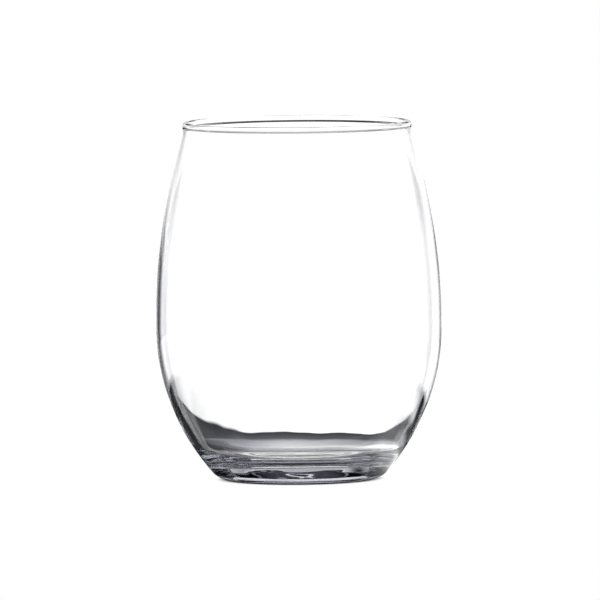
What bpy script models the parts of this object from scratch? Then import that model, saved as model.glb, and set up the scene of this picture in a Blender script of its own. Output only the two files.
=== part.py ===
"""Stemless rocks glass: one turned body of clear glass.

Metres, +Z up. The origin is on the axis, in the plane of the resting ring.
"""

import math

import bpy

# Driving sizes in metres, angles in degrees
HEIGHT = 0.1020  # resting ring to the top of the rim
RIM_DIAMETER = 0.0656  # outside, over the rim bead
BELLY_DIAMETER = 0.0816  # outside, at the widest level
BELLY_HEIGHT = 0.0436  # widest level above the resting ring
FOOT_DIAMETER = 0.0416  # outer edge of the flat resting ring
RING_WIDTH = 0.0060  # flat of the resting ring
RECESS_DEPTH = 0.0022  # flat recess underneath, inside the ring
RECESS_ROUND = 0.0015  # round from the recess's side to its flat top, measured level
FLOOR_THICKNESS = 0.0039  # glass from the recess to the flat floor of the bowl
RIM_WALL = 0.0013  # wall just below the rim bead
BELLY_WALL = 0.0016  # wall at the widest level
TURN_WALL = 0.00195  # wall where the bowl turns in to its flat floor
TURN_HEIGHT = 0.0093  # level on the outside where that turn starts
BEAD_SWELL = 0.0003  # how far the bead stands out on each side of the wall
BEAD_FILLET = 0.0015  # hollow blend from the wall to the bead
HEEL_RADIUS = 0.0055  # round between the resting ring and the body
RIM_LEAN = 13.9  # how far the wall leans inwards at the rim, from upright
HEEL_RISE = 49.5  # slope of the body where it leaves the heel, from level

# How full each stretch of the outline is: 0 is a straight line, 1 is a sharp corner
SHOULDER_FULLNESS = 0.585
BODY_FULLNESS = 0.50
WALL_FULLNESS = 0.50
RECESS_FULLNESS = 0.414  # a quarter of an ellipse

# Facets around the glass, and steps along each stretch of the outline
FACETS = 64
SHOULDER_STEPS = 8
BODY_STEPS = 10
WALL_STEPS = 5
TURN_STEPS = 8
BEAD_STEPS = 7
FILLET_STEPS = 2
HEEL_STEPS = 5
RECESS_STEPS = 4
HALVINGS = 40  # of the body's outline, to find a level on it
MERGE_DISTANCE = 0.00001

# Clear glass, as a viewer shows it
GLASS_COLOUR = (0.95, 0.96, 0.98, 1.0)
GLASS_ROUGHNESS = 0.02
GLASS_METALLIC = 0.0
GLASS_IOR = 1.52
GLASS_TRANSMISSION = 1.0

lean = math.radians(RIM_LEAN)
rise = math.radians(HEEL_RISE)
belly_radius = BELLY_DIAMETER / 2
inner_radius = belly_radius - BELLY_WALL
foot_radius = FOOT_DIAMETER / 2
floor_height = RECESS_DEPTH + FLOOR_THICKNESS
bead_radius = RIM_WALL / 2 + BEAD_SWELL
bead_centre = (RIM_DIAMETER / 2 - bead_radius, HEIGHT - bead_radius)
heel_centre = (foot_radius, HEEL_RADIUS)
heel_top = (foot_radius + HEEL_RADIUS * math.sin(rise), HEEL_RADIUS * (1 - math.cos(rise)))


def clear_scene():
    for obj in list(bpy.data.objects):
        bpy.data.objects.remove(obj)


def between(first, second, share):
    return tuple(a + (b - a) * share for a, b in zip(first, second))


def conic_tangent(start, corner, end, fullness, t):
    """A point of the conic whose end tangents meet at corner, and the line's direction there."""
    weight = fullness / (1 - fullness)
    weighted_corner = (corner[0] * weight, corner[1] * weight, weight)
    first = between((*start, 1.0), weighted_corner, t)
    second = between(weighted_corner, (*end, 1.0), t)
    middle = between(first, second, t)
    across = second[0] / second[2] - first[0] / first[2]
    up = second[1] / second[2] - first[1] / first[2]
    length = math.hypot(across, up)
    return (middle[0] / middle[2], middle[1] / middle[2]), (across / length, up / length)


def conic(start, corner, end, fullness, steps):
    """Points after start, along the conic, to its end."""
    return [conic_tangent(start, corner, end, fullness, step / steps)[0] for step in range(1, steps + 1)]


def arc(centre, radius, first, last, steps):
    """Points after the first angle, in radians from level, to the last one."""
    angles = [first + (last - first) * step / steps for step in range(1, steps + 1)]
    return [(centre[0] + radius * math.cos(a), centre[1] + radius * math.sin(a)) for a in angles]


def beside_wall(across, along):
    """A point measured from the bead's centre, across the leaning wall and up along it."""
    return (
        bead_centre[0] + across * math.cos(lean) - along * math.sin(lean),
        bead_centre[1] + across * math.sin(lean) + along * math.cos(lean),
    )


def fillet_drop():
    """How far below the bead's centre the blend leaves the wall, measured along the wall."""
    return math.sqrt((bead_radius + BEAD_FILLET) ** 2 - (RIM_WALL / 2 + BEAD_FILLET) ** 2)


def rim():
    """Points from the inner neck over the bead to the outer neck."""
    hollow = RIM_WALL / 2 + BEAD_FILLET
    reach = math.atan2(fillet_drop(), hollow)
    inner_centre = beside_wall(-hollow, -fillet_drop())
    outer_centre = beside_wall(hollow, -fillet_drop())
    half_turn = math.pi
    points = arc(inner_centre, BEAD_FILLET, lean, lean + reach, FILLET_STEPS)
    points += arc(bead_centre, bead_radius, lean + half_turn + reach, lean - reach, BEAD_STEPS)
    points += arc(outer_centre, BEAD_FILLET, lean + half_turn - reach, lean + half_turn, FILLET_STEPS)
    return points


def shoulder(widest, neck):
    """Start, corner and end of the stretch from the belly up to the neck."""
    corner = (widest[0], neck[1] - (widest[0] - neck[0]) / math.tan(lean))
    return widest, corner, neck


def lower_body():
    """Start, corner and end of the outer stretch from the belly down to the heel."""
    corner = (belly_radius, heel_top[1] + (belly_radius - heel_top[0]) * math.tan(rise))
    return (belly_radius, BELLY_HEIGHT), corner, heel_top


def turn_start():
    """Where the bowl starts its turn to the floor, and the body's direction there, downwards."""
    low, high = 0.0, 1.0
    for _ in range(HALVINGS):
        middle = (low + high) / 2
        point, direction = conic_tangent(*lower_body(), BODY_FULLNESS, middle)
        if point[1] > TURN_HEIGHT:
            low = middle
        else:
            high = middle
    inside = (point[0] + direction[1] * TURN_WALL, point[1] - direction[0] * TURN_WALL)
    return inside, direction


def bowl():
    """Inner outline from the middle of the floor up to the inner neck."""
    widest = (inner_radius, BELLY_HEIGHT)
    wall_end, direction = turn_start()
    slope = direction[1] / direction[0]
    turn = math.atan(slope)
    turn_radius = (wall_end[1] - floor_height) / (1 - math.cos(turn))
    turn_centre = (wall_end[0] - turn_radius * math.sin(turn), floor_height + turn_radius)
    wall_corner = (inner_radius, wall_end[1] + (inner_radius - wall_end[0]) * slope)
    neck = beside_wall(-RIM_WALL / 2, -fillet_drop())
    points = [(0.0, floor_height), (turn_centre[0], floor_height)]
    points += arc(turn_centre, turn_radius, -math.pi / 2, turn - math.pi / 2, TURN_STEPS)
    points += conic(wall_end, wall_corner, widest, WALL_FULLNESS, WALL_STEPS)
    points += conic(*shoulder(widest, neck), SHOULDER_FULLNESS, SHOULDER_STEPS)
    return points


def body():
    """Outer outline from the outer neck down to the resting ring."""
    neck = beside_wall(RIM_WALL / 2, -fillet_drop())
    start, corner, end = shoulder((belly_radius, BELLY_HEIGHT), neck)
    points = conic(end, corner, start, SHOULDER_FULLNESS, SHOULDER_STEPS)
    points += conic(*lower_body(), BODY_FULLNESS, BODY_STEPS)
    points += arc(heel_centre, HEEL_RADIUS, rise - math.pi / 2, -math.pi / 2, HEEL_STEPS)
    return points


def underside():
    """Outline of the recess inside the resting ring, in to the axis."""
    edge = (foot_radius - RING_WIDTH, 0.0)
    corner = (edge[0], RECESS_DEPTH)
    flat = (edge[0] - RECESS_ROUND, RECESS_DEPTH)
    return [edge] + conic(edge, corner, flat, RECESS_FULLNESS, RECESS_STEPS) + [(0.0, RECESS_DEPTH)]


def glass_material():
    material = bpy.data.materials.new("clear_glass")
    material.use_nodes = True
    shader = material.node_tree.nodes["Principled BSDF"]
    shader.inputs["Base Color"].default_value = GLASS_COLOUR
    shader.inputs["Roughness"].default_value = GLASS_ROUGHNESS
    shader.inputs["Metallic"].default_value = GLASS_METALLIC
    shader.inputs["IOR"].default_value = GLASS_IOR
    shader.inputs["Transmission Weight"].default_value = GLASS_TRANSMISSION
    return material


def turned(name, outline, material):
    """One object made by turning an outline of (radius, height) points about Z."""
    mesh = bpy.data.meshes.new(name)
    points = [(radius, 0.0, height) for radius, height in outline]
    edges = [(index, index + 1) for index in range(len(points) - 1)]
    mesh.from_pydata(points, edges, [])
    mesh.materials.append(material)
    obj = bpy.data.objects.new(name, mesh)
    bpy.context.scene.collection.objects.link(obj)
    screw = obj.modifiers.new("turn", "SCREW")
    screw.axis = "Z"
    screw.angle = 2 * math.pi
    screw.steps = FACETS
    screw.render_steps = FACETS
    screw.use_smooth_shade = True
    screw.use_merge_vertices = True
    screw.merge_threshold = MERGE_DISTANCE
    return obj


clear_scene()
turned("tumbler", bowl() + rim() + body() + underside(), glass_material())
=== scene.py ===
import math

import bpy
from mathutils import Matrix, Vector


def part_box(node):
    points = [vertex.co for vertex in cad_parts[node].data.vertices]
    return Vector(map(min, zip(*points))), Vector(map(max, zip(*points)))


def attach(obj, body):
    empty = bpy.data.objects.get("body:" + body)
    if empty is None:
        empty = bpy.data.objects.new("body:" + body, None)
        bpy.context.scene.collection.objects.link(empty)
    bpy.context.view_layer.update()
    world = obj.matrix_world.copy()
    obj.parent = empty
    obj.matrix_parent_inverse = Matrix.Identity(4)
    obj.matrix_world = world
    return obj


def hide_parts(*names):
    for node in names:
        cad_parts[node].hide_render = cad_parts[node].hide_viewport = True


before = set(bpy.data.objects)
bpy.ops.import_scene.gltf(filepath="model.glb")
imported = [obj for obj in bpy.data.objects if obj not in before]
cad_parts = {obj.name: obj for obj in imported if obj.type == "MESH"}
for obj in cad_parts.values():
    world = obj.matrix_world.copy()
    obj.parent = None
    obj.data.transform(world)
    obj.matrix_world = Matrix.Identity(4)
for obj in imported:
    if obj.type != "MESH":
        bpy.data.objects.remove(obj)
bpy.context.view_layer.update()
tumblerLow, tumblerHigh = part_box("tumbler")
print("frame loaded with nodes", sorted(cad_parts))


class Wire:
    # the output of a node, so that sums between nodes read as plain sums

    def __init__(self, tree, socket):
        self.tree = tree
        self.socket = socket

    def sum(self, operation, first, second=0.0):
        made = makeNode(self.tree, "ShaderNodeMath", {"operation": operation}, {0: first, 1: second})
        return Wire(self.tree, made.outputs[0])

    def __add__(self, other):
        return self.sum("ADD", self, other)

    def __radd__(self, other):
        return self.sum("ADD", other, self)

    def __sub__(self, other):
        return self.sum("SUBTRACT", self, other)

    def __rsub__(self, other):
        return self.sum("SUBTRACT", other, self)

    def __mul__(self, other):
        return self.sum("MULTIPLY", self, other)

    def __truediv__(self, other):
        return self.sum("DIVIDE", self, other)

    def __rtruediv__(self, other):
        return self.sum("DIVIDE", other, self)

    def __neg__(self):
        return self.sum("MULTIPLY", self, -1.0)

    def sine(self):
        return self.sum("SINE", self)

    def cosine(self):
        return self.sum("COSINE", self)

    def tangent(self):
        return self.sum("TANGENT", self)

    def root(self):
        return self.sum("SQRT", self)

    def angleTo(self, along):
        return self.sum("ARCTAN2", self, along)


def feed(tree, socket, value):
    if isinstance(value, Wire):
        tree.links.new(value.socket, socket)
    elif isinstance(value, bpy.types.NodeSocket):
        tree.links.new(value, socket)
    else:
        socket.default_value = value


def makeNode(tree, kind, settings, feeds):
    made = tree.nodes.new(kind)
    for name, value in settings.items():
        setattr(made, name, value)
    for key, value in feeds.items():
        feed(tree, made.inputs[key], value)
    return made


def smoothShare(tree, value, low, high):
    # 0 below low, 1 above high, with a soft step between
    settings = {"interpolation_type": "SMOOTHSTEP"}
    made = makeNode(tree, "ShaderNodeMapRange", settings, {"Value": value, "From Min": low, "From Max": high})
    return Wire(tree, made.outputs["Result"])


# tumbler: one turned body of clear glass

tumbler = {
    "height": tumblerHigh.z - tumblerLow.z,
    "belly diameter": tumblerHigh.x - tumblerLow.x,
    "belly height": 0.0436,
    "rim diameter": 0.0656,  # over the bead
    "foot diameter": 0.0416,  # outer edge of the resting ring
    "ring width": 0.0060,
    "recess depth": 0.0022,  # flat recess underneath
    "recess round": 0.0015,  # from its side to its flat top
    "floor thickness": 0.0039,
    "rim wall": 0.0013,
    "belly wall": 0.0016,
    "turn wall": 0.00195,  # wall where the bowl turns in to its flat floor
    "turn share": 0.7973,  # of the way down the lower body
    "bead swell": 0.0003,
    "bead fillet": 0.0015,
    "heel radius": 0.0055,
    "rim lean": math.radians(13.9),
    "heel rise": math.radians(49.5),
    "shoulder fullness": 0.585,  # 0 is a straight line, 1 is a sharp corner
    "body fullness": 0.50,
    "wall fullness": 0.50,
    "round fullness": 0.414,  # a quarter of an ellipse
    "ripple depth": 0.00004,  # the slight unevenness of moulded glass
    "ripple size": 0.010,
    "ripple seed": 4.0,
    "ripple detail": 1.0,
    "ripple middle": 0.5,  # tone of the noise that moves nothing
    "ring calm": 0.0012,  # no ripple on the ring, full ripple from this height
    "wall calm start": 0.020,  # the wall is calmer than the base
    "wall calm end": 0.045,
    "wall calm": 0.80,
    "base ripple": 2.2,  # times more in the recess and on the heel
    "base calm": 0.012,  # level where that ends
}

tumblerMesh = {
    "facets": 224,
    "stretch steps": 40,
    "round steps": 12,
    "weld": 0.000001,
}


def outlinePoint(tree, radius, height):
    made = makeNode(tree, "ShaderNodeCombineXYZ", {}, {"X": radius, "Y": height})
    return Wire(tree, made.outputs["Vector"])


def partWay(tree, start, end, share):
    made = makeNode(tree, "ShaderNodeMix", {"data_type": "VECTOR"}, {0: share, 4: start, 5: end})
    return Wire(tree, made.outputs[1])


def stretch(tree, start, corner, end, fullness):
    # from start to end, leaving and arriving along the lines to corner
    handleShare = fullness * (4 / 3)  # so that a cubic passes, halfway, where the fullness says
    ends = [outlinePoint(tree, *place) for place in (start, corner, end)]
    feeds = {
        "Resolution": tumblerMesh["stretch steps"],
        "Start": ends[0],
        "Start Handle": partWay(tree, ends[0], ends[1], handleShare),
        "End Handle": partWay(tree, ends[2], ends[1], handleShare),
        "End": ends[2],
    }
    made = makeNode(tree, "GeometryNodeCurvePrimitiveBezierSegment", {"mode": "POSITION"}, feeds)
    return made.outputs["Curve"]


def roundStretch(tree, centre, radius, firstAngle, turn):
    feeds = {
        "Resolution": tumblerMesh["round steps"],
        "Radius": radius,
        "Start Angle": firstAngle,
        "Sweep Angle": turn,
    }
    arc = makeNode(tree, "GeometryNodeCurveArc", {"mode": "RADIUS"}, feeds)
    feeds = {"Geometry": arc.outputs["Curve"], "Translation": outlinePoint(tree, *centre)}
    return makeNode(tree, "GeometryNodeTransform", {}, feeds).outputs["Geometry"]


def rimStretches(tree, size):
    # hollow blend, bead and hollow blend, and the two places where the wall meets them
    lean = size["rim lean"]
    halfWall = size["rim wall"] / 2
    beadRadius = halfWall + size["bead swell"]
    beadAcross = size["rim diameter"] / 2 - beadRadius
    beadUp = size["height"] - beadRadius
    hollow = halfWall + size["bead fillet"]
    reachLine = beadRadius + size["bead fillet"]
    drop = (reachLine * reachLine - hollow * hollow).root()
    reach = drop.angleTo(hollow)

    def besideWall(across):
        return (
            beadAcross + across * lean.cosine() + drop * lean.sine(),
            beadUp + across * lean.sine() - drop * lean.cosine(),
        )

    halfTurn = math.pi
    beadStart = lean + reach + halfTurn
    beadTurn = -(reach * 2 + halfTurn)
    stretches = [
        roundStretch(tree, besideWall(-hollow), size["bead fillet"], lean, reach),
        roundStretch(tree, (beadAcross, beadUp), beadRadius, beadStart, beadTurn),
        roundStretch(tree, besideWall(hollow), size["bead fillet"], lean - reach + halfTurn, reach),
    ]
    return stretches, besideWall(-halfWall), besideWall(halfWall)


def shoulderCorner(size, radius, neck):
    return radius, neck[1] - (radius - neck[0]) / size["rim lean"].tangent()


def bodyStretches(tree, size, outerNeck):
    bellyRadius = size["belly diameter"] / 2
    belly = (bellyRadius, size["belly height"])
    footRadius = size["foot diameter"] / 2
    rise = size["heel rise"]
    heel = size["heel radius"]
    heelTop = (footRadius + heel * rise.sine(), heel - heel * rise.cosine())
    lowCorner = (bellyRadius, heelTop[1] + (bellyRadius - heelTop[0]) * rise.tangent())
    ringInside = footRadius - size["ring width"]
    ringMiddle = (footRadius - size["ring width"] / 2, 0.0)
    depth = size["recess depth"]
    recessFlat = ringInside - size["recess round"]
    quarterTurn = math.pi / 2
    lower = stretch(tree, belly, lowCorner, heelTop, size["body fullness"])
    corner = shoulderCorner(size, bellyRadius, outerNeck)
    stretches = [
        stretch(tree, outerNeck, corner, belly, size["shoulder fullness"]),
        lower,
        roundStretch(tree, (footRadius, heel), heel, rise - quarterTurn, -rise),
        stretch(tree, (footRadius, 0.0), ringMiddle, (ringInside, 0.0), size["body fullness"]),
        stretch(tree, (ringInside, 0.0), (ringInside, depth), (recessFlat, depth), size["round fullness"]),
        stretch(tree, (recessFlat, depth), (recessFlat / 2, depth), (0.0, depth), size["body fullness"]),
    ]
    return stretches, lower


def bowlStretches(tree, size, lower, innerNeck):
    # the bowl keeps to the wall, then turns in to its flat floor
    innerRadius = size["belly diameter"] / 2 - size["belly wall"]
    floorHeight = size["recess depth"] + size["floor thickness"]
    feeds = {"Curves": lower, "Factor": size["turn share"]}
    sample = makeNode(tree, "GeometryNodeSampleCurve", {"mode": "FACTOR"}, feeds)
    place = makeNode(tree, "ShaderNodeSeparateXYZ", {}, {0: sample.outputs["Position"]})
    heading = makeNode(tree, "ShaderNodeSeparateXYZ", {}, {0: sample.outputs["Tangent"]})
    across = Wire(tree, heading.outputs["X"])
    down = Wire(tree, heading.outputs["Y"])
    slope = down / across
    wallEnd = (
        Wire(tree, place.outputs["X"]) + down * size["turn wall"],
        Wire(tree, place.outputs["Y"]) - across * size["turn wall"],
    )
    turn = (-down).angleTo(-across)
    turnRadius = (wallEnd[1] - floorHeight) / (1.0 - turn.cosine())
    flatRadius = wallEnd[0] - turnRadius * turn.sine()
    widest = (innerRadius, size["belly height"])
    wallCorner = (innerRadius, wallEnd[1] + (innerRadius - wallEnd[0]) * slope)
    corner = shoulderCorner(size, innerRadius, innerNeck)
    quarterTurn = math.pi / 2
    floorPlaces = [(across, floorHeight) for across in (0.0, flatRadius / 2, flatRadius)]
    return [
        stretch(tree, *floorPlaces, size["body fullness"]),
        roundStretch(tree, (flatRadius, floorHeight + turnRadius), turnRadius, -quarterTurn, turn),
        stretch(tree, wallEnd, wallCorner, widest, size["wall fullness"]),
        stretch(tree, widest, corner, innerNeck, size["shoulder fullness"]),
    ]


def rippleOffset(tree, size):
    place = makeNode(tree, "GeometryNodeInputPosition", {}, {}).outputs["Position"]
    normal = makeNode(tree, "GeometryNodeInputNormal", {}, {}).outputs["Normal"]
    feeds = {
        "Vector": place,
        "W": size["ripple seed"],
        "Scale": 1.0 / size["ripple size"],
        "Detail": size["ripple detail"],
    }
    noise = makeNode(tree, "ShaderNodeTexNoise", {"noise_dimensions": "4D"}, feeds)
    height = makeNode(tree, "ShaderNodeSeparateXYZ", {}, {0: place}).outputs["Z"]
    offRing = smoothShare(tree, height, 0.0, size["ring calm"])
    onWall = smoothShare(tree, height, size["wall calm start"], size["wall calm end"])
    offWall = 1.0 - onWall * size["wall calm"]
    inBase = 1.0 - smoothShare(tree, height, size["recess depth"], size["base calm"])
    ripple = (Wire(tree, noise.outputs[0]) - size["ripple middle"]) * size["ripple depth"] * offRing * offWall
    ripple = ripple * (inBase * (size["base ripple"] - 1.0) + 1.0)
    made = makeNode(tree, "ShaderNodeVectorMath", {"operation": "SCALE"}, {0: normal, "Scale": ripple})
    return made.outputs["Vector"]


def tumblerTree(material):
    tree = bpy.data.node_groups.new("turned tumbler", "GeometryNodeTree")
    tree.interface.new_socket("Geometry", in_out="OUTPUT", socket_type="NodeSocketGeometry")
    for name in tumbler:
        tree.interface.new_socket(name, in_out="INPUT", socket_type="NodeSocketFloat")
    given = makeNode(tree, "NodeGroupInput", {}, {})
    size = {name: Wire(tree, given.outputs[name]) for name in tumbler}

    rim, innerNeck, outerNeck = rimStretches(tree, size)
    body, lower = bodyStretches(tree, size, outerNeck)
    bowl = bowlStretches(tree, size, lower, innerNeck)
    outline = makeNode(tree, "GeometryNodeJoinGeometry", {}, {})
    for line in bowl + rim + body:
        tree.links.new(line, outline.inputs["Geometry"])

    # turned by sweeping the outline along the belly's circle, which wants it measured from there, upside down
    turnRadius = size["belly diameter"] / 2
    shift = makeNode(tree, "ShaderNodeCombineXYZ", {}, {"X": -turnRadius}).outputs["Vector"]
    feeds = {"Geometry": outline.outputs["Geometry"], "Translation": shift, "Scale": (1.0, -1.0, 1.0)}
    laid = makeNode(tree, "GeometryNodeTransform", {}, feeds)
    feeds = {"Resolution": tumblerMesh["facets"], "Radius": turnRadius}
    circle = makeNode(tree, "GeometryNodeCurvePrimitiveCircle", {"mode": "RADIUS"}, feeds)
    feeds = {"Curve": circle.outputs["Curve"], "Profile Curve": laid.outputs["Geometry"]}
    turned = makeNode(tree, "GeometryNodeCurveToMesh", {}, feeds)
    feeds = {"Geometry": turned.outputs["Mesh"], "Distance": tumblerMesh["weld"]}
    welded = makeNode(tree, "GeometryNodeMergeByDistance", {}, feeds)
    feeds = {"Geometry": welded.outputs["Geometry"], "Offset": rippleOffset(tree, size)}
    rippled = makeNode(tree, "GeometryNodeSetPosition", {}, feeds)
    smooth = makeNode(tree, "GeometryNodeSetShadeSmooth", {}, {"Geometry": rippled.outputs["Geometry"]})
    realized = makeNode(tree, "GeometryNodeRealizeInstances", {}, {"Geometry": smooth.outputs["Geometry"]})
    feeds = {"Geometry": realized.outputs["Geometry"], "Material": material}
    finished = makeNode(tree, "GeometryNodeSetMaterial", {}, feeds)
    makeNode(tree, "NodeGroupOutput", {}, {"Geometry": finished.outputs["Geometry"]})
    return tree


clearGlass = {
    "tint": (1.0, 1.0, 1.0, 1.0),
    "ior": 1.52,
    "depth colour": (0.750, 0.760, 0.800, 1.0),
    "depth density": 44.0,
    "polish": 0.0,  # roughness of the plain surface
    "smear": 0.012,  # roughness where the polish is poorest
    "smear size": 0.020,
    "smear detail": 4.0,
    "smear edges": (0.5, 0.8),
    "scuff": 0.30,  # roughness of the worn resting ring
    "scuff height": 0.0004,
    "scratch scale": 900.0,
    "scratch detail": 3.0,
    "scratch edges": (0.4, 0.6),
    "scratch depth": 0.00002,
    "scratch strength": 0.3,
}


def glassFinish():
    material = bpy.data.materials.new("clear_glass")
    material.use_nodes = True
    tree = material.node_tree
    shader = tree.nodes["Principled BSDF"]
    shader.inputs["Base Color"].default_value = clearGlass["tint"]
    shader.inputs["Metallic"].default_value = 0.0
    shader.inputs["IOR"].default_value = clearGlass["ior"]
    shader.inputs["Transmission Weight"].default_value = 1.0
    place = makeNode(tree, "ShaderNodeTexCoord", {}, {}).outputs["Object"]
    feeds = {"Vector": place, "Scale": 1.0 / clearGlass["smear size"], "Detail": clearGlass["smear detail"]}
    smear = Wire(tree, makeNode(tree, "ShaderNodeTexNoise", {}, feeds).outputs[0])
    smear = smoothShare(tree, smear, *clearGlass["smear edges"]) * clearGlass["smear"]
    height = makeNode(tree, "ShaderNodeSeparateXYZ", {}, {0: place}).outputs["Z"]
    feeds = {"Vector": place, "Scale": clearGlass["scratch scale"], "Detail": clearGlass["scratch detail"]}
    scratch = Wire(tree, makeNode(tree, "ShaderNodeTexNoise", {}, feeds).outputs[0])
    scuffed = 1.0 - smoothShare(tree, height, 0.0, clearGlass["scuff height"])
    scratched = scuffed * smoothShare(tree, scratch, *clearGlass["scratch edges"])
    feed(tree, shader.inputs["Roughness"], smear + scratched * clearGlass["scuff"] + clearGlass["polish"])
    feeds = {
        "Strength": clearGlass["scratch strength"],
        "Distance": clearGlass["scratch depth"],
        "Height": scratched,
    }
    feed(tree, shader.inputs["Normal"], makeNode(tree, "ShaderNodeBump", {}, feeds).outputs["Normal"])
    feeds = {"Color": clearGlass["depth colour"], "Density": clearGlass["depth density"]}
    depth = makeNode(tree, "ShaderNodeVolumeAbsorption", {}, feeds)
    tree.links.new(depth.outputs["Volume"], tree.nodes["Material Output"].inputs["Volume"])
    return material


def makeTumbler():
    material = glassFinish()
    piece = bpy.data.objects.new("turned_tumbler", bpy.data.meshes.new("turned_tumbler"))
    bpy.context.scene.collection.objects.link(piece)
    modifier = piece.modifiers.new("turn", "NODES")
    modifier.node_group = tumblerTree(material)
    for item in modifier.node_group.interface.items_tree:
        if item.in_out == "INPUT":
            modifier[item.identifier] = tumbler[item.name]
    evaluated = piece.evaluated_get(bpy.context.evaluated_depsgraph_get())
    mesh = bpy.data.meshes.new_from_object(evaluated)
    piece.modifiers.remove(modifier)
    piece.data = mesh
    return piece


tumblerPiece = makeTumbler()
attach(tumblerPiece, "root")
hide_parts("tumbler")
print("tumbler turned with", len(tumblerPiece.data.polygons), "faces")


# studio: pale floor, white backdrop, dark sides, front and ceiling, graded scrims in front of the backdrop

studio = {
    "white": (1.0, 1.0, 1.0, 1.0),
    "white through glass": 1.44,
    "white from above": 1.10,  # the same on the floor, for a camera that looks down
    "looks down": (7.0, 11.0),  # degrees: a lower camera doesn't, a higher one does
}


def sines(angles):
    return [math.sin(math.radians(angle)) for angle in angles]


def blend(share, first, second):
    # first where the share is 0, second where it is 1
    return share * (second - first) + first


def setStops(ramp, stops):
    elements = ramp.color_ramp.elements
    while len(elements) < len(stops):
        elements.new(0.5)
    for element, (place, tone) in zip(elements, stops):
        element.position = place
        element.color = (tone, tone, tone, 1.0)


def glassRayShare(tree, path):
    # 1 for light that the glass mirrors or bends
    bent = Wire(tree, path.outputs["Is Transmission Ray"])
    return bent.sum("MAXIMUM", bent, path.outputs["Is Glossy Ray"])


def highShare(tree):
    # 0 for a camera as low as the photo's, 1 for one that looks down on the floor
    settings = {"vector_type": "VECTOR", "convert_from": "WORLD", "convert_to": "CAMERA"}
    upright = makeNode(tree, "ShaderNodeVectorTransform", settings, {"Vector": (0.0, 0.0, 1.0)})
    axes = makeNode(tree, "ShaderNodeSeparateXYZ", {}, {0: upright.outputs["Vector"]})
    rise = Wire(tree, axes.outputs["Z"])
    return smoothShare(tree, rise.sum("ABSOLUTE", rise), *sines(studio["looks down"]))


paleFloor = {
    "half": 3.0,
    "drop": 0.0002,  # below the resting ring
    "colour": (0.9, 0.9, 0.9, 1.0),
    "roughness": 0.6,
    "contact": (0.0205, 0.0245),  # lit, not plain white, from the axis to here
    "shade tint": (0.95, 0.96, 1.08, 1.0),  # the shade is cool
    "near paling": 0.55,  # of the shade by the glass, for a camera that looks down
    "far paling": 0.88,
    "far from": (0.020, 0.036),
}

# the shade on the floor, which only the glass shows: distances are from the axis, headings are degrees off
# the view line, to the right, and spreads are cosines of the angle to a heading
floorShade = {
    # millimetres and tone: painted light in a ring under the edge of the recess, painted shadow under the
    # resting ring, then a painted shade that deepens away from the glass
    "tones": [
        (0.0, 0.12), (12.4, 0.05), (13.4, 1.0), (16.6, 1.0), (18.0, 0.02), (24.0, 0.04), (28.0, 0.32),
        (36.0, 0.65), (46.0, 0.54), (54.0, 0.43), (66.0, 0.09), (115.0, 0.03), (122.0, 1.0), (150.0, 1.0),
    ],
    "heading": -25.0,
    "spread": (0.15, 0.50),
    "open from": (0.040, 0.065),  # from here out, the shade keeps to its heading
    # heading, spread and pull: the shade ends nearer on the right and farther off on the left
    "pulls": [(22.0, (0.93, 0.99), 0.16), (-50.0, (0.64, 1.0), -0.16)],
    "pull from": (0.050, 0.070),
    "grazing": (4.6, 6.2),  # degrees: seen flatter than this, the shade is gone
    "grazing from": (0.040, 0.050),
    "steep": (17.0, 22.0),  # degrees: seen steeper than this, the shade is pale
    "steep from": (0.055, 0.070),
    "steep paling": 0.85,
    "spared heading": -72.0,  # on the left it stays dark
    "spared spread": (0.50, 0.85),
    "spared reach": (0.100, 0.120),
}

# patches of floor with a shade of their own, which lightens where it is below 0
floorPatches = [
    {"heading": -80.0, "spread": (0.50, 0.82), "from": (0.020, 0.022), "to": (0.085, 0.110), "shade": 0.93},
    {"heading": 180.0, "spread": (0.30, 0.65), "from": (0.022, 0.024), "to": (0.400, 0.800), "shade": 0.85},
    {"heading": -50.0, "spread": (0.70, 0.95), "from": (0.030, 0.036), "to": (0.055, 0.075), "shade": 0.45},
    {"heading": 60.0, "spread": (0.40, 0.90), "from": (0.036, 0.042), "to": (0.055, 0.075), "shade": 0.40},
    {"heading": 80.0, "spread": (0.50, 0.85), "from": (0.021, 0.023), "to": (0.036, 0.042), "shade": -1.0},
    {"heading": -45.0, "spread": (0.55, 0.97), "from": (0.110, 0.140), "to": (0.300, 0.700), "shade": 0.06},
    {"heading": 62.0, "spread": (0.72, 0.92), "from": (0.046, 0.054), "to": (0.100, 0.115), "shade": 0.80},
]

# painted shade: dark streaks on the floor from beside the glass to the scrims, shaded in mirrored and in bent
# light
floorShadeStreaks = {
    "start": (0.050, 0.085),  # distance back
    # side, then edges as distance out from the glass over distance back
    "bands": [
        {"side": -1.0, "inner": (0.10, 0.26), "outer": (0.38, 0.65), "mirrored": 0.97, "bent": 0.97},
        {"side": 1.0, "inner": (0.08, 0.20), "outer": (0.25, 0.45), "mirrored": 0.97, "bent": 0.65},
    ],
}


def bandShare(tree, value, start, end):
    # 1 between start and end, with soft edges
    return smoothShare(tree, value, *start) * (1.0 - smoothShare(tree, value, *end))


def headingShare(tree, place, fromAxis, heading, spread):
    # how far a place on the floor lies towards a heading, seen from the axis
    angle = math.radians(heading)
    toward = (math.sin(angle), math.cos(angle), 0.0)
    along = makeNode(tree, "ShaderNodeVectorMath", {"operation": "DOT_PRODUCT"}, {0: place, 1: toward})
    cosine = Wire(tree, along.outputs["Value"]) / fromAxis
    return smoothShare(tree, cosine, *spread)


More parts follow.
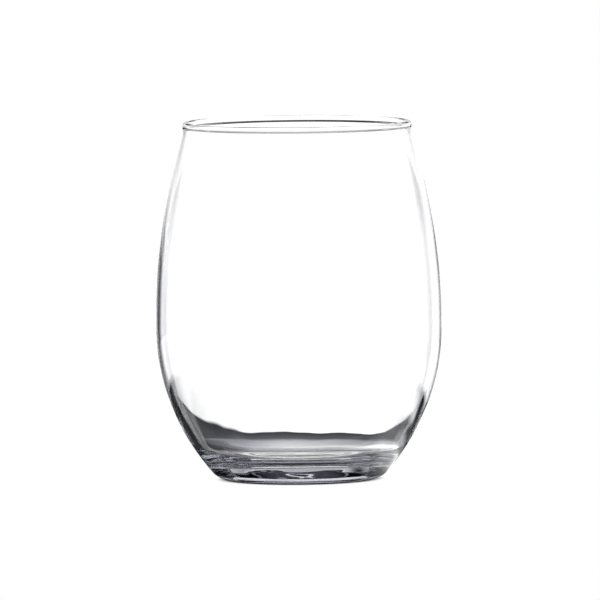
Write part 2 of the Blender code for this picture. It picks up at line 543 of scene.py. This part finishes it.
def streakShade(tree, place, bent):
    # painted shade of the dark streaks on the floor, as the glass shows them
    axes = makeNode(tree, "ShaderNodeSeparateXYZ", {}, {0: place})
    across = Wire(tree, axes.outputs["X"])
    back = Wire(tree, axes.outputs["Y"])
    shade = 0.0
    for band in floorShadeStreaks["bands"]:
        out = (across * band["side"] - sideCard["glass radius"]) / back
        share = bandShare(tree, out, band["inner"], band["outer"])
        shade = shade + share * blend(bent, band["mirrored"], band["bent"])
    return shade * smoothShare(tree, back, *floorShadeStreaks["start"])


def shadeDepth(tree, place, fromAxis):
    # how dark the shade is, before its slant counts
    stops = floorShade["tones"]
    reach = stops[-1][0]
    perMetre = 1000.0
    distance = Wire(tree, fromAxis) * (perMetre / reach)
    outer = smoothShare(tree, fromAxis, *floorShade["pull from"])
    for heading, spread, pull in floorShade["pulls"]:
        distance = distance * (1.0 + headingShare(tree, place, fromAxis, heading, spread) * outer * pull)
    ramp = makeNode(tree, "ShaderNodeValToRGB", {}, {"Fac": distance})
    setStops(ramp, [(millimetres / reach, tone) for millimetres, tone in stops])
    tone = Wire(tree, ramp.outputs["Color"])
    toHeading = headingShare(tree, place, fromAxis, floorShade["heading"], floorShade["spread"])
    extent = 1.0 - (1.0 - toHeading) * smoothShare(tree, fromAxis, *floorShade["open from"])
    for patch in floorPatches:
        share = headingShare(tree, place, fromAxis, patch["heading"], patch["spread"])
        share = share * bandShare(tree, fromAxis, patch["from"], patch["to"])
        tone = tone * (1.0 - share * patch["shade"])
        extent = extent.sum("MAXIMUM", extent, share)
    return (1.0 - tone) * extent


def slantShare(tree, place, fromAxis):
    # the share of the shade that is left at the slant the floor is seen at
    facing = makeNode(tree, "ShaderNodeLayerWeight", {}, {"Blend": 0.5}).outputs["Facing"]
    slant = 1.0 - Wire(tree, facing)
    steep = smoothShare(tree, slant, *sines(floorShade["steep"]))
    steep = steep * smoothShare(tree, fromAxis, *floorShade["steep from"]) * floorShade["steep paling"]
    spared = headingShare(tree, place, fromAxis, floorShade["spared heading"], floorShade["spared spread"])
    spared = spared * (1.0 - smoothShare(tree, fromAxis, *floorShade["spared reach"]))
    grazing = 1.0 - smoothShare(tree, slant, *sines(floorShade["grazing"]))
    grazing = grazing * smoothShare(tree, fromAxis, *floorShade["grazing from"])
    return (1.0 - steep * (1.0 - spared)) * (1.0 - grazing)


def floorTone(tree, place, fromAxis, path):
    # how bright the glass shows the floor
    high = highShare(tree)
    bent = Wire(tree, path.outputs["Is Transmission Ray"])
    far = smoothShare(tree, fromAxis, *paleFloor["far from"])
    left = 1.0 - blend(far, paleFloor["near paling"], paleFloor["far paling"]) * high * bent
    shade = shadeDepth(tree, place, fromAxis) * slantShare(tree, place, fromAxis) * left
    # painted shade of the dark streaks on the floor
    streak = streakShade(tree, place, bent) * left
    white = blend(high, studio["white through glass"], studio["white from above"])
    return (1.0 - shade) * (1.0 - streak) * white


def makeFloor():
    half = paleFloor["half"]
    mesh = bpy.data.meshes.new("floor")
    corners = [(-half, -half), (half, -half), (half, half), (-half, half)]
    mesh.from_pydata([(x, y, -paleFloor["drop"]) for x, y in corners], [], [(0, 1, 2, 3)])
    floor = bpy.data.objects.new("floor", mesh)
    bpy.context.scene.collection.objects.link(floor)
    material = bpy.data.materials.new("pale_floor")
    material.use_nodes = True
    tree = material.node_tree
    shader = tree.nodes["Principled BSDF"]
    shader.inputs["Base Color"].default_value = paleFloor["colour"]
    shader.inputs["Roughness"].default_value = paleFloor["roughness"]
    path = makeNode(tree, "ShaderNodeLightPath", {}, {})
    glassRay = glassRayShare(tree, path)
    place = makeNode(tree, "ShaderNodeTexCoord", {}, {}).outputs["Object"]
    fromAxis = makeNode(tree, "ShaderNodeVectorMath", {"operation": "LENGTH"}, {0: place}).outputs["Value"]
    plain = smoothShare(tree, fromAxis, *paleFloor["contact"])
    # for the glass the floor glows with its painted shade and painted light, for the camera plain white
    tone = floorTone(tree, place, fromAxis, path) * glassRay + path.outputs["Is Camera Ray"]
    feeds = {0: tone, 6: paleFloor["shade tint"], 7: studio["white"]}
    tint = makeNode(tree, "ShaderNodeMix", {"data_type": "RGBA"}, feeds).outputs[2]
    glow = makeNode(tree, "ShaderNodeEmission", {}, {"Color": tint, "Strength": tone})
    shown = plain * path.outputs["Is Camera Ray"] + glassRay
    feeds = {0: shown, 1: shader.outputs["BSDF"], 2: glow.outputs["Emission"]}
    mixed = makeNode(tree, "ShaderNodeMixShader", {}, feeds)
    tree.links.new(mixed.outputs["Shader"], tree.nodes["Material Output"].inputs["Surface"])
    mesh.materials.append(material)


room = {
    "light": 0.3,  # on the floor
    # elevation in degrees, and tone of what the glass mirrors and bends
    "tones": [
        (-90.0, 1.0), (1.5, 1.0), (3.0, 0.55), (6.0, 0.55), (7.5, 0.85), (11.0, 0.85), (13.5, 0.03),
        (38.0, 0.03), (40.0, 1.0), (44.5, 1.0), (47.0, 0.08), (62.0, 0.08), (66.0, 0.03), (90.0, 0.03),
    ],
    "front shade": 0.90,  # behind the camera it is dark above the horizon
    "front spread": (-0.35, 0.15),
    "horizon": (1.0, 4.0),  # degrees
    "side shade": 0.85,  # to the sides it is dark above these elevations
    "side spread": (0.60, 0.88),
    "side from": (11.0, 13.0),  # degrees
}


def makeWorld():
    world = bpy.data.worlds.new("studio")
    world.use_nodes = True
    bpy.context.scene.world = world
    tree = world.node_tree
    background = tree.nodes["Background"]
    direction = makeNode(tree, "ShaderNodeTexCoord", {}, {}).outputs["Generated"]
    axes = makeNode(tree, "ShaderNodeSeparateXYZ", {}, {0: direction})
    upward = Wire(tree, axes.outputs["Z"])
    back = Wire(tree, axes.outputs["Y"])
    elevation = upward.sum("ARCSINE", upward) / math.pi + 0.5
    ramp = makeNode(tree, "ShaderNodeValToRGB", {}, {"Fac": elevation})
    setStops(ramp, [(degrees / 180 + 0.5, tone) for degrees, tone in room["tones"]])
    seen = Wire(tree, ramp.outputs["Color"]) * studio["white through glass"]
    front = 1.0 - smoothShare(tree, back, *room["front spread"])
    above = smoothShare(tree, upward, *sines(room["horizon"]))
    seen = seen * (1.0 - front * above * room["front shade"])
    feeds = {0: direction, 1: (1.0, 1.0, 0.0)}
    level = makeNode(tree, "ShaderNodeVectorMath", {"operation": "MULTIPLY"}, feeds)
    length = makeNode(tree, "ShaderNodeVectorMath", {"operation": "LENGTH"}, {0: level.outputs["Vector"]})
    aside = 1.0 - smoothShare(tree, back / length.outputs["Value"], *room["side spread"])
    above = smoothShare(tree, upward, *sines(room["side from"]))
    seen = seen * (1.0 - aside * above * room["side shade"])
    path = makeNode(tree, "ShaderNodeLightPath", {}, {})
    lit = Wire(tree, path.outputs["Is Diffuse Ray"]) * room["light"]
    light = seen * glassRayShare(tree, path) + lit + path.outputs["Is Camera Ray"]
    tree.links.new(light.socket, background.inputs["Strength"])
    background.inputs["Color"].default_value = studio["white"]


sideCard = {
    "distance": 0.35,
    "height": 0.14,
    "glass radius": 0.040,  # the edge of the glass that looks at the card
}

# levels between which each card pales, by what share, and its tones in mirrored and in bent light: angle off
# the view line in degrees and tone
leftCard = {
    "fade": (0.026, 0.060),
    "fade share": 0.45,
    "mirrored": [
        (6.0, 1.0), (10.0, 0.40), (14.0, 0.02), (18.0, 0.02), (24.0, 0.45), (46.0, 0.55), (52.0, 1.0),
    ],
    "bent": [
        (13.0, 1.0), (16.0, 0.30), (18.0, 0.05), (20.5, 0.05), (24.0, 0.55), (28.0, 0.88), (52.0, 1.0),
    ],
}
rightCard = {
    "fade": (0.012, 0.035),
    "fade share": 0.50,
    "mirrored": [(8.0, 1.0), (12.0, 0.10), (16.0, 0.10), (22.0, 0.90), (30.0, 1.0)],
    "bent": [(13.0, 1.0), (17.0, 0.60), (20.0, 0.60), (24.0, 1.0), (30.0, 1.0)],
}


def hideCard(card):
    # seen by the glass only
    card.visible_camera = False
    card.visible_diffuse = False
    card.visible_shadow = False


def cardPlace(angle):
    # how far out on a card the edge of the glass looks, at an angle off the view line
    return sideCard["glass radius"] + sideCard["distance"] * math.tan(math.radians(angle))


def makeCard(name, side, look, turn):
    # a graded upright scrim behind the glass
    inner = cardPlace(look["mirrored"][0][0])
    width = cardPlace(look["mirrored"][-1][0]) - inner
    mesh = bpy.data.meshes.new(name)
    corners = [(0.0, 0.0), (width, 0.0), (width, sideCard["height"]), (0.0, sideCard["height"])]
    mesh.from_pydata([(x, 0.0, z) for x, z in corners], [], [(0, 1, 2, 3)])
    card = bpy.data.objects.new(name, mesh)
    bpy.context.scene.collection.objects.link(card)
    material = bpy.data.materials.new(name)
    material.use_nodes = True
    tree = material.node_tree
    place = makeNode(tree, "ShaderNodeTexCoord", {}, {}).outputs["Object"]
    axes = makeNode(tree, "ShaderNodeSeparateXYZ", {}, {0: place})
    across = Wire(tree, axes.outputs["X"]) / width
    tones = []
    for light in ("mirrored", "bent"):
        ramp = makeNode(tree, "ShaderNodeValToRGB", {}, {"Fac": across})
        setStops(ramp, [((cardPlace(angle) - inner) / width, tone) for angle, tone in look[light]])
        tones.append(Wire(tree, ramp.outputs["Color"]))
    path = makeNode(tree, "ShaderNodeLightPath", {}, {})
    tone = blend(Wire(tree, path.outputs["Is Transmission Ray"]), *tones)
    fade = smoothShare(tree, axes.outputs["Z"], *look["fade"]) * look["fade share"]
    tone = 1.0 - (1.0 - tone) * (1.0 - fade)
    scrim = makeNode(tree, "ShaderNodeBsdfTransparent", {}, {"Color": tone})
    tree.links.new(scrim.outputs["BSDF"], tree.nodes["Material Output"].inputs["Surface"])
    mesh.materials.append(material)
    mirror = Matrix.Diagonal((side, 1.0, 1.0, 1.0))
    spot = Matrix.Translation((side * inner, sideCard["distance"], 0.0)) @ mirror
    card.matrix_world = Matrix.Rotation(turn, 4, "Z") @ spot
    hideCard(card)


def makeCards():
    # one pair for the photo's angle and one, a quarter turn on, for a camera at the side
    quarterTurn = math.pi / 2
    for turn in (0.0, quarterTurn):
        makeCard("card_left", -1.0, leftCard, turn)
        makeCard("card_right", 1.0, rightCard, turn)


rimCard = {
    "half width": 0.110,
    "back": 0.060,
    "from": 0.124,  # above what the back of the rim looks at
    "to": 0.190,
    "tone": 0.55,
}


def makeRimCard():
    # a pale card above and behind the glass, which only the front of the rim looks at
    half, low, high = rimCard["half width"], rimCard["from"], rimCard["to"]
    mesh = bpy.data.meshes.new("card_rim")
    corners = [(-half, low), (half, low), (half, high), (-half, high)]
    mesh.from_pydata([(x, rimCard["back"], z) for x, z in corners], [], [(0, 1, 2, 3)])
    card = bpy.data.objects.new("card_rim", mesh)
    bpy.context.scene.collection.objects.link(card)
    material = bpy.data.materials.new("card_rim")
    material.use_nodes = True
    tree = material.node_tree
    glow = makeNode(tree, "ShaderNodeEmission", {}, {"Color": studio["white"], "Strength": rimCard["tone"]})
    tree.links.new(glow.outputs["Emission"], tree.nodes["Material Output"].inputs["Surface"])
    mesh.materials.append(material)
    hideCard(card)


softbox = {
    "height": 1.0,
    "side": 0.5,
    "watts": 6.0,
}


def makeSoftbox():
    light = bpy.data.lights.new("softbox", "AREA")
    light.size = softbox["side"]
    light.energy = softbox["watts"]
    lamp = bpy.data.objects.new("softbox", light)
    lamp.location = (0.0, 0.0, softbox["height"])
    lamp.visible_glossy = False
    lamp.visible_transmission = False
    bpy.context.scene.collection.objects.link(lamp)


makeFloor()
makeWorld()
makeCards()
makeRimCard()
makeSoftbox()
print("studio set")


# camera at the photo's angle, on a long lens

view = {
    "elevation": 3.9,
    "roll": -0.55,
    "distance": 3.5,
    "aim height": 0.0505,
    "pixels per metre": 3505.0,
    "aim pixel": (298.6, 301.4),
    "frame pixels": 600,
    "sensor": 36.0,
    "clip end": 100.0,
    "bounces": 24,  # of light in the glass
}


def makeCamera():
    lens = bpy.data.cameras.new("camera")
    camera = bpy.data.objects.new("camera", lens)
    bpy.context.scene.collection.objects.link(camera)
    elevation = math.radians(view["elevation"])
    aim = Vector((0.0, 0.0, view["aim height"]))
    back = Vector((0.0, -math.cos(elevation), math.sin(elevation)))
    turn = (-back).to_track_quat("-Z", "Y").to_matrix().to_4x4()
    roll = Matrix.Rotation(math.radians(view["roll"]), 4, "Z")
    camera.matrix_world = Matrix.Translation(aim + back * view["distance"]) @ turn @ roll
    lens.sensor_width = view["sensor"]
    lens.lens = view["sensor"] * view["pixels per metre"] * view["distance"] / view["frame pixels"]
    lens.shift_x = 0.5 - view["aim pixel"][0] / view["frame pixels"]
    lens.shift_y = view["aim pixel"][1] / view["frame pixels"] - 0.5
    lens.clip_end = view["clip end"]
    bpy.context.scene.camera = camera


makeCamera()
scene = bpy.context.scene
scene.view_settings.view_transform = "Standard"
scene.cycles.max_bounces = view["bounces"]
scene.cycles.glossy_bounces = view["bounces"]
scene.cycles.transmission_bounces = view["bounces"]
scene.cycles.caustics_reflective = False
scene.cycles.caustics_refractive = False
print("camera placed")
